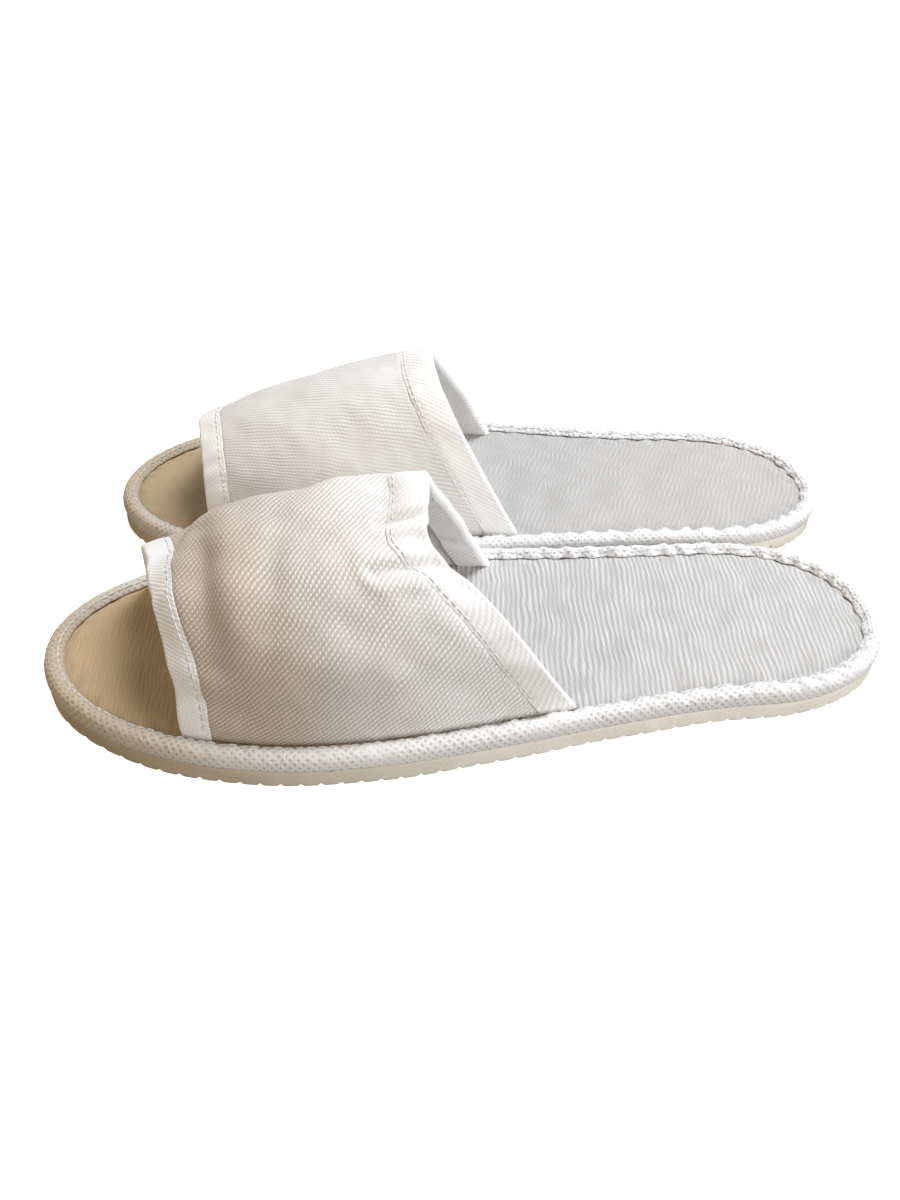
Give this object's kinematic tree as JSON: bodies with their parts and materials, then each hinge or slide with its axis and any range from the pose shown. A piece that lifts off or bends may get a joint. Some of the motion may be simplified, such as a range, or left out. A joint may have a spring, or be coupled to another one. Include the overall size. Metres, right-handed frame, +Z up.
{
  "type": "spa slippers",
  "caption": "Pair of open-toe, open-back spa slippers with padded fabric uppers, bound ribbed insoles and flexible foam outsoles.",
  "frame": {"origin": "centre of the pair's footprint, on the floor", "axes": "+X towards the heels, along the left slipper's sole; +Y from the left slipper to the right one; +Z up"},
  "size_m": [0.2982, 0.2148, 0.0732],
  "materials": {
    "outsole": "matte ivory EVA foam",
    "insole_board": "brown fibre board",
    "insole_foam": "cream open-cell foam",
    "insole_cover": "white ribbed cloth",
    "edge_binding": "white knitted binding tape",
    "upper_fabric": "white brushed twill",
    "upper_foam": "cream foam padding",
    "upper_lining": "white tricot lining",
    "hem": "white brushed twill, folded",
    "thread": "white polyester sewing thread"
  },
  "bodies": {
    "left_forefoot": {"left_outsole_front": "outsole", "left_insole_board_front": "insole_board", "left_insole_foam_front": "insole_foam", "left_insole_cover_front": "insole_cover", "left_edge_binding_front": "edge_binding", "left_binding_thread_front": "thread", "left_upper_outer": "upper_fabric", "left_upper_foam": "upper_foam", "left_upper_lining": "upper_lining", "left_toe_hem": "hem", "left_instep_hem": "hem", "left_toe_hem_thread": "thread", "left_instep_hem_thread": "thread"},
    "left_heel": {"left_outsole_heel": "outsole", "left_insole_board_heel": "insole_board", "left_insole_foam_heel": "insole_foam", "left_insole_cover_heel": "insole_cover", "left_edge_binding_heel": "edge_binding", "left_binding_thread_heel": "thread"},
    "right_forefoot": {"right_outsole_front": "outsole", "right_insole_board_front": "insole_board", "right_insole_foam_front": "insole_foam", "right_insole_cover_front": "insole_cover", "right_edge_binding_front": "edge_binding", "right_binding_thread_front": "thread", "right_upper_outer": "upper_fabric", "right_upper_foam": "upper_foam", "right_upper_lining": "upper_lining", "right_toe_hem": "hem", "right_instep_hem": "hem", "right_toe_hem_thread": "thread", "right_instep_hem_thread": "thread"},
    "right_heel": {"right_outsole_heel": "outsole", "right_insole_board_heel": "insole_board", "right_insole_foam_heel": "insole_foam", "right_insole_cover_heel": "insole_cover", "right_edge_binding_heel": "edge_binding", "right_binding_thread_heel": "thread"}
  },
  "joints": [
    {"name": "left_sole_flex", "type": "hinge", "parent": "left_forefoot", "child": "left_heel", "pos_m": [0.03091, -0.04802, 0.0128], "axis": [0, -1, 0], "range_deg": [-8, 60], "stiffness_Nm_per_rad": 0.3},
    {"name": "right_slipper_lift", "type": "slide", "parent": "left_forefoot", "child": "right_forefoot", "axis": [0, 0, 1], "range_m": [0, 0.12]},
    {"name": "right_sole_flex", "type": "hinge", "parent": "right_forefoot", "child": "right_heel", "pos_m": [0.04425, 0.04317, 0.0128], "axis": [-0.0541, -0.9985, 0], "range_deg": [-8, 60], "stiffness_Nm_per_rad": 0.3}
  ]
}
